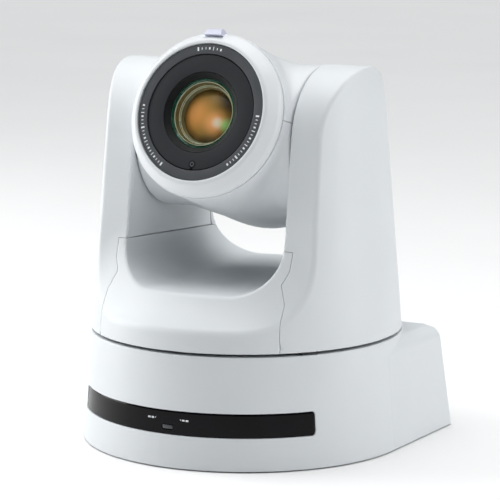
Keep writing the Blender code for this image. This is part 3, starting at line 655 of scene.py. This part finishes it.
def inner_panel_field(side):
    def field(x, y, z):
        panel = round_max(inner_panel_zone(x, y, z, side, 0.0), GAP_HALF + 0.15 - side * x, 0.3)
        hole = np.hypot(y, z - TILT_Z) - 17.0
        return np.maximum(panel, -hole)
    return field


def build_turntable():
    field_piece(centre_field, (-52, -81, 58), (52, 81, 108), SHELL_CELL, "centre_shell", "turntable",
                "white_shell", FINISH["shell"], ("centre_cover",))
    for side, name in ((-1, "left"), (1, "right")):
        low, high = sorted((side * 44.0, side * 81.0))
        field_piece(arm_cover_field(side), (low, -68, 58), (high, 68, 195), SHELL_CELL, name + "_arm_shell",
                    "turntable", "white_shell", FINISH["shell"], (name + "_arm_cover",))
        low, high = sorted((side * 44.0, side * 48.0))
        field_piece(inner_panel_field(side), (low, -46, 98), (high, 46, 193), 0.8, name + "_inner_panel",
                    "turntable", "white_shell", FINISH["shell"], (name + "_inner_cover",))


# ---- head ---------------------------------------------------------------------------------------------------
def head_outside(x, y, z):
    """Distance field of the head, lens level: a round barrel with a blunt tail, and the hub drum."""
    ahead = -y
    tail = np.maximum(TAIL_START - ahead, 0.0) / TAIL_LENGTH
    radius = np.hypot(x, z) / BARREL_RADIUS
    barrel = BARREL_RADIUS * ((radius ** TAIL_SHAPE + tail ** TAIL_SHAPE) ** (1 / TAIL_SHAPE) - 1)
    drum = np.hypot(y, z) - DRUM_RADIUS
    body = round_min(barrel, drum, HUB_FILLET)
    body = round_max(body, np.abs(x) - HUB_END, 1.2)
    return round_max(body, ahead - CASE_FRONT, 0.3)


def case_field(lower):
    side = 1.0 if lower else -1.0

    def field(x, y, z):
        outside = head_outside(x, y, z)
        room = np.maximum(outside + CASE_WALL, -45.0 - np.abs(x))
        front_hole = np.hypot(x, z) - (CASE_RADIUS - CASE_WALL)
        front_hole = np.maximum(front_hole, CASE_FRONT - 6.0 + y)
        shell = np.maximum(outside, -np.minimum(room, front_hole))
        shell = np.maximum(shell, -(np.hypot(y, z) - 15.0))
        return round_max(shell, side * z + 0.12, 0.15)
    return field


SIDEWAYS = Matrix.Rotation(radians(90), 4, "Y")


def lens_ring(profile, name, slot, finish, replaced=(), segments=192, radius=0.25, body="head"):
    return bmesh_piece(turned(profile, segments, radius), name, body, slot, finish, replaced, place=AT_TILT)


def build_head():
    for lower, name in ((False, "upper"), (True, "lower")):
        low, high = (-44, 1) if lower else (-1, 44)
        field_piece(case_field(lower), (-45, -44, low), (45, 58, high), 0.9, "head_" + name + "_skin", "head",
                    "white_case", FINISH["case"], ("head_" + name + "_case",), place=AT_TILT)
    bm = bmesh.new()
    loops = [[bm.verts.new((side * (LAMP_HALF - 0.36 * (rise - LAMP_SIDE[0][1])), -ahead, rise))
              for ahead, rise in LAMP_SIDE] for side in (-1, 1)]
    for k in range(len(LAMP_SIDE)):
        following = (k + 1) % len(LAMP_SIDE)
        bm.faces.new((loops[0][k], loops[0][following], loops[1][following], loops[1][k]))
    for loop in loops:
        bm.faces.new(loop)
    bmesh_piece(bm, "tally_lens", "head", "lamp_lens", FINISH["tally"], ("tally_lamp",), bevel=0.5,
                bevel_angle=15.0, place=AT_TILT)

    front = BEZEL_FRONT
    bezel = [(36.2, front), (37.2, front - 0.5), (41.0, front - 5.2), (CASE_RADIUS - 0.1, front - 7.0),
             (CASE_RADIUS - 0.1, CASE_FRONT + 0.3), (38.6, CASE_FRONT + 0.3), (38.6, front - 4.4),
             (34.9, front - 4.4), (34.9, front)]
    lens_ring(bezel, "bezel_ring", "white_case", FINISH["case"], ("front_bezel",), 224, 0.5)
    ring = [(29.7, front - 3.4), (34.6, front - 3.4), (34.6, front - 0.8), (29.7, front - 0.8)]
    lens_ring(ring, "dark_ring", "ring_plastic", FINISH["ring"], ("name_ring",))
    build_marks(front - 0.8)
    plate = [(20.6, front - 3.8), (29.2, front - 3.8), (29.2, front - 1.3), (20.6, front - 1.3)]
    lens_ring(plate, "dark_plate", "dark_plastic", FINISH["plate"], ("front_plate",))
    face = 1.3 - front
    # The eyelet well and the notch under it are flat dark discs: painted shade standing in for the shade in the
    # holes.
    notch = turned([(0, 0.03), (1.15, 0.03), (1.15, -0.2), (0, -0.2)], 32, 0, FORWARD, (0, face, NOTCH_Z))
    well = turned([(0, 0.04), (1.85, 0.04), (1.85, -0.2), (0, -0.2)], 48, 0, FORWARD, (0, face, EYELET_Z))
    bmesh_piece(merged(notch, well), "eyelet_shadow", "head", "dark_plastic", FINISH["groove"], place=AT_TILT)
    rim = turned([(0.55, 0.06), (1.3, 0.06), (1.3, -0.1), (0.55, -0.1)], 48, 0.05, FORWARD, (0, face, EYELET_Z))
    bmesh_piece(rim, "eyelet_rim", "head", "dark_plastic", FINISH["ring"], place=AT_TILT)
    steps = [(20.3, front - 8.8), (20.3, front - 1.7)]
    radius, depth = 20.0, 1.9
    while depth < 3.4:
        steps += [(radius, front - depth), (radius, front - depth - 0.16), (radius - 0.3, front - depth - 0.22)]
        radius -= 0.34
        depth += 0.27
    steps += [(17.8, front - depth), (17.8, front - 8.8)]
    lens_ring(steps, "baffle", "dark_plastic", FINISH["inner"], ("lens_hood",), 192, 0.04)
    build_glass(front)


def build_marks(face):
    """Plain scale marks on the dark ring, in three groups: (first angle, step, count)."""
    bm = bmesh.new()
    for first, step, count in ((-11.5, 3.8, 7), (91.0, 3.4, 16), (212.0, 3.4, 19)):
        for k in range(count):
            turn = Matrix.Rotation(radians(first + k * step), 4, "Y")
            half_length = 0.95 if k % 4 == 0 else 0.6
            half_width = 0.2 if k % 3 else 0.42
            add_box(bm, (-half_width, -face - 0.03, MARK_RADIUS - half_length),
                    (half_width, -face + 0.2, MARK_RADIUS + half_length), turn)
    bmesh_piece(bm, "ring_marks", "head", "white_case", FINISH["mark"], place=AT_TILT)


def dome(edge, rise, back, thickness, steps=14):
    """Outline of a lens: a spherical front of the given rise, and a flat back."""
    sphere = (edge * edge + rise * rise) / (2 * rise)
    outline = [(0, back), (edge, back), (edge, back + thickness)]
    for k in range(steps - 1, -1, -1):
        r = edge * k / steps
        outline.append((r, back + thickness + sqrt(sphere ** 2 - r * r) - (sphere - rise)))
    return outline


def build_glass(front):
    """Front glass, the stepped rings behind it and the deep coated element."""
    lens_ring(dome(17.2, 1.9, front - 4.4, 0.8), "front_glass", "lens_glass", FINISH["glass"],
              ("front_lens",), 128, 0)
    rings = (("seat_line", ((17.75, 48.3), (17.75, 48.9), (17.3, 48.9), (17.3, 48.3)), "seat"),
             ("outer_seat", ((17.7, 45.2), (17.7, 48.2), (17.2, 48.2), (16.2, 47.6), (16.2, 45.2)), "seat"),
             ("outer_line", ((16.3, 47.7), (16.3, 48.15), (15.9, 48.15), (15.9, 47.7)), "trim"),
             ("cone_wall", ((16.2, 43.2), (16.2, 47.6), (15.8, 47.6), (15.1, 45.6), (15.0, 43.2)), "amber_wall"),
             ("middle_line", ((15.25, 44.9), (15.25, 45.6), (14.85, 45.6), (14.85, 44.9)), "trim"),
             ("inner_line", ((14.75, 44.2), (14.75, 44.8), (14.4, 44.8), (14.4, 44.2)), "trim"),
             ("inner_seat", ((15.0, 40.2), (15.0, 44.2), (14.4, 44.2), (13.5, 42.9), (13.5, 40.2)), "amber_wall"))
    for name, profile, finish in rings:
        lens_ring(list(profile), name, "dark_plastic", FINISH[finish], (), 192, 0.1)
    lens_ring(dome(13.4, 2.8, 40.4, 2.0), "coated_element", "lens_glass", FINISH["amber"], (), 128, 0)


# ---- rear panel ----------------------------------------------------------------------------------------------
def build_connectors():
    for node, x in (("lan_socket", 44.0), ("serial_socket", 20.5)):
        network_socket(node, x, PANEL_Y)
    for node, x in (("sdi_connector_1", -58.0), ("sdi_connector_2", -38.0), ("genlock_connector", -18.0)):
        bayonet(node, x, VIDEO_ROW, PANEL_Y)
    video_socket("hdmi_socket", 32.0, HDMI_ROW, PANEL_Y)
    power_inlet("dc_inlet", -54.0, LOW_ROW, PANEL_Y)
    sound_jack("audio_jack", -32.0, LOW_ROW, PANEL_Y)
    ground_screw(8.0, LOW_ROW, PANEL_Y)


def network_socket(node, x, face):
    """Eight-way modular socket: plated box, stepped mouth for the latch, contacts and two lamps."""
    middle, half_x, half_z = NETWORK_ROW, 8.1, 6.65

    def field(px, py, pz):
        rise = pz - middle
        body = rounded_box_2d(px - x, rise, half_x, half_z, 0.5)
        body = np.maximum(body, np.maximum(face - SHELL_DEPTH - py, py - face - SHELL_RISE))
        mouth = rounded_box_2d(px - x, rise - 0.9, 6.0, 3.9, 0.3)
        step = rounded_box_2d(px - x, rise + 3.6, 3.1, 1.4, 0.3)
        latch = rounded_box_2d(px - x, rise + 4.9, 1.7, 1.0, 0.3)
        lamps = rounded_box_2d(np.abs(px - x) - 5.0, rise + 4.9, 1.35, 0.85, 0.2)
        hollow = np.minimum(np.minimum(mouth, step), latch)
        hollow = np.maximum(hollow, face - 6.8 - py)
        lamps = np.maximum(lamps, face + 0.6 - py)
        return round_max(body, -np.minimum(hollow, lamps), 0.2)

    field_piece(field, (x - 8.3, face - 9, 12), (x + 8.3, face + 2.2, 25.5), 0.3, node + "_shell", "base",
                "connector_metal", FINISH["plated"], (node,))
    contacts = bmesh.new()
    for k in range(8):
        place = x - 3.57 + 1.02 * k
        add_box(contacts, (place - 0.22, face - 6.6, middle + 3.2), (place + 0.22, face + 0.4, middle + 3.6))
    bmesh_piece(contacts, node + "_contacts", "base", "brass", FINISH["gold"])
    lamps = bmesh.new()
    for side in (-1, 1):
        add_box(lamps, (x + side * 5.0 - 1.2, face + 0.7, middle - 5.6),
                (x + side * 5.0 + 1.2, face + 2.05, middle - 4.2))
    bmesh_piece(lamps, node + "_lamps", "base", "lamp_lens", FINISH["lamp"], bevel=0.15)


def video_socket(node, x, z, face):
    """Flat video socket with chamfered lower corners and a contact tongue."""
    def outline(px, pz, grow):
        box = rounded_box_2d(px - x, pz - z, 7.5 + grow, 2.75 + grow, 0.6)
        return np.maximum(box, (np.abs(px - x) - (pz - z)) * 0.7071 - 5.9 - grow)

    def field(px, py, pz):
        body = np.maximum(outline(px, pz, 0.0), np.maximum(face - SHELL_DEPTH - py, py - face - SHELL_RISE))
        room = np.maximum(outline(px, pz, -0.45), face - 6.2 - py)
        return round_max(body, -room, 0.12)

    field_piece(field, (x - 8, face - 9, z - 3), (x + 8, face + 2.2, z + 3), 0.28, node + "_shell", "base",
                "connector_metal", FINISH["plated"], (node,))
    tongue = add_box(bmesh.new(), (x - 5.3, face - 6.5, z + 0.5), (x + 5.3, face + 1.0, z + 1.5))
    bmesh_piece(tongue, node + "_tongue", "base", "dark_plastic", FINISH["dark"], bevel=0.2)
    contacts = bmesh.new()
    for k in range(10):
        place = x - 4.5 + k
        add_box(contacts, (place - 0.2, face - 6.0, z + 0.4), (place + 0.2, face + 0.6, z + 0.55))
    bmesh_piece(contacts, node + "_contacts", "base", "brass", FINISH["gold"])


def power_inlet(node, x, z, face):
    shell = turned([(6.6, -5.7), (6.6, 2.2), (7.2, 2.4), (8.0, 2.4), (8.0, -8.6), (0, -8.6), (0, -5.7)],
                   72, 0.3, TO_REAR, (x, face, z))
    bmesh_piece(shell, node + "_shell", "base", "dark_plastic", FINISH["dark"], (node,))
    pins = bmesh.new()
    for k in range(4):
        angle = radians(45 + 90 * k)
        spot = Matrix.Translation((x + 2.8 * cos(angle), face - 3.0, z + 2.8 * sin(angle)))
        bmesh.ops.create_cone(pins, cap_ends=True, segments=16, radius1=0.7, radius2=0.7, depth=5.6,
                              matrix=spot @ TO_REAR)
    bmesh_piece(pins, node + "_pins", "base", "brass", FINISH["gold"], bevel=0.15)


def sound_jack(node, x, z, face):
    shell = turned([(2.3, -6.7), (2.3, 1.4), (2.9, 2.0), (4.0, 2.0), (4.0, -8.6), (0, -8.6), (0, -6.7)],
                   56, 0.15, TO_REAR, (x, face, z))
    bmesh_piece(shell, node + "_shell", "base", "dark_plastic", FINISH["dark"], (node,))
    collar = turned([(1.85, -5.5), (2.25, -5.5), (2.25, 1.7), (2.9, 2.15), (2.7, 2.25), (1.85, 1.9)],
                    56, 0.08, TO_REAR, (x, face, z))
    bmesh_piece(collar, node + "_collar", "base", "connector_metal", FINISH["plated"])


def ground_screw(x, z, face):
    """Earth screw with a washer, and dark bars of painted shade standing in for its cross slot."""
    washer = turned([(0, 0.3), (4.2, 0.3), (4.2, 1.1), (0, 1.1)], 48, 0.12, TO_REAR, (x, face, z))
    head = turned([(0, 1.1), (3.1, 1.1), (3.1, 1.8), (2.4, 2.7), (0, 3.0)], 48, 0.25, TO_REAR, (x, face, z))
    bmesh_piece(merged(washer, head), "ground_screw", "base", "steel", FINISH["steel"])
    # Painted shade: dark bars on the head stand in for the cross slot.
    slot_shades = bmesh.new()
    for turn in (radians(20), radians(110)):
        spin = Matrix.Translation((x, face + 2.95, z)) @ Matrix.Rotation(turn, 4, "Y")
        add_box(slot_shades, (-1.7, -0.2, -0.3), (1.7, 0.08, 0.3), spin)
    bmesh_piece(slot_shades, "ground_screw_slot_shade", "base", "dark_plastic", FINISH["groove"])


def bayonet(node, x, z, face):
    """Round video connector: plated shell, two bayonet lugs, white insulator and centre contact."""
    shell = turned([(4.2, -5), (4.8, -5), (4.8, -1.0), (6.0, -1.0), (6.0, 0.6), (7.2, 0.6), (7.2, 1.8),
                    (5.1, 1.8), (5.1, 2.3), (4.8, 2.6), (4.8, 7.4), (4.15, 7.4)],
                   64, 0.12, TO_REAR, (x, face, z))
    lugs = bmesh.new()
    for side in (-1, 1):
        bmesh.ops.create_cone(lugs, cap_ends=True, segments=20, radius1=0.95, radius2=0.95, depth=1.4,
                              matrix=Matrix.Translation((x + side * 5.2, face + 5.2, z)) @ SIDEWAYS)
    bmesh_piece(merged(shell, lugs), node + "_shell", "base", "connector_metal", FINISH["plated"], (node,))
    core = turned([(1.0, -4.8), (4.1, -4.8), (4.1, 0.8), (1.9, 0.8), (1.9, 4.6), (1.0, 4.6)], 48, 0.1, TO_REAR,
                  (x, face, z))
    bmesh_piece(core, node + "_insulator", "base", "white_case", FINISH["case"])
    pin = turned([(0.35, -4), (0.75, -4), (0.75, 4.0), (0.35, 4.0)], 32, 0.06, TO_REAR, (x, face, z))
    bmesh_piece(pin, node + "_contact", "base", "brass", FINISH["gold"])


# ---- CAD nodes that stay ---------------------------------------------------------------------------------------
def finish_carried_nodes():
    by_slot = {"white_shell": "shell", "white_case": "case", "dark_gloss": "window", "dark_plastic": "dark",
               "ring_plastic": "ring", "rubber": "rubber", "steel": "steel", "cast_metal": "cast",
               "brass": "brass", "connector_metal": "plated", "board": "board", "coil": "coil",
               "magnet": "magnet", "lens_glass": "glass", "lamp_lens": "lamp"}
    special = {"zoom_carrier": "inner", "focus_carrier": "inner", "lens_barrel": "inner", "zoom_lens": "glass"}
    for part in frame["record"]["subparts"]:
        node = part["node"]
        finish = FINISH[special.get(node, by_slot[part["material_slot"]])]
        mesh = frame["nodes"][node].data
        mesh.materials.clear()
        mesh.materials.append(finish)


# ---- stage -----------------------------------------------------------------------------------------------------
def build_stage():
    floor_finish = Finish("floor", (0.90, 0.90, 0.90), 0.7, Specular_IOR_Level=0.2)
    floor_finish.mottle(3.0, 0.02).rub(8.0, 0.05)
    bm = bmesh.new()
    bmesh.ops.create_grid(bm, x_segments=1, y_segments=1, size=6.0)
    mesh = bpy.data.meshes.new("floor")
    bm.to_mesh(mesh)
    bm.free()
    mesh.materials.append(floor_finish.material)
    floor = bpy.data.objects.new("floor", mesh)
    bpy.context.scene.collection.objects.link(floor)
    world = bpy.data.worlds.new("studio")
    world.use_nodes = True
    background = world.node_tree.nodes["Background"]
    background.inputs["Color"].default_value = WORLD_COLOUR
    background.inputs["Strength"].default_value = WORLD_STRENGTH
    bpy.context.scene.world = world
    bpy.context.scene.view_settings.view_transform = "Standard"


def area_light(name, place, target, size, power):
    data = bpy.data.lights.new(name, "AREA")
    data.shape = "RECTANGLE"
    data.size, data.size_y = size
    data.energy = power
    light = bpy.data.objects.new(name, data)
    light.location = place
    light.rotation_euler = (Vector(target) - Vector(place)).to_track_quat("-Z", "Y").to_euler()
    bpy.context.scene.collection.objects.link(light)


def build_lights():
    for name, place, size, power in SOFTBOXES:
        area_light(name, place, LIGHT_AIM, size, power)
    sky = bpy.data.lights.new("overhead_softbox", "SUN")
    sky.energy = OVERHEAD_STRENGTH
    sky.angle = OVERHEAD_SPREAD
    overhead = bpy.data.objects.new("overhead_softbox", sky)
    overhead.rotation_euler = (radians(-6), radians(-4), 0)
    bpy.context.scene.collection.objects.link(overhead)


def build_camera():
    away = Vector((sin(VIEW_AZIMUTH) * cos(VIEW_ELEVATION), -cos(VIEW_AZIMUTH) * cos(VIEW_ELEVATION),
                   sin(VIEW_ELEVATION)))
    sideways = Vector((cos(VIEW_AZIMUTH), sin(VIEW_AZIMUTH), 0.0))
    aim = PAN + sideways * VIEW_AIM[0] + Vector((0, 0, VIEW_AIM[1]))
    data = bpy.data.cameras.new("camera")
    data.sensor_width = SENSOR_WIDTH
    data.lens = VIEW_LENS
    camera = bpy.data.objects.new("camera", data)
    camera.location = aim + away * VIEW_DISTANCE
    camera.rotation_euler = (-away).to_track_quat("-Z", "Y").to_euler()
    bpy.context.scene.collection.objects.link(camera)
    bpy.context.scene.camera = camera


build_camera()
build_stage()
build_lights()
build_base()
build_turntable()
build_head()
build_connectors()
finish_carried_nodes()
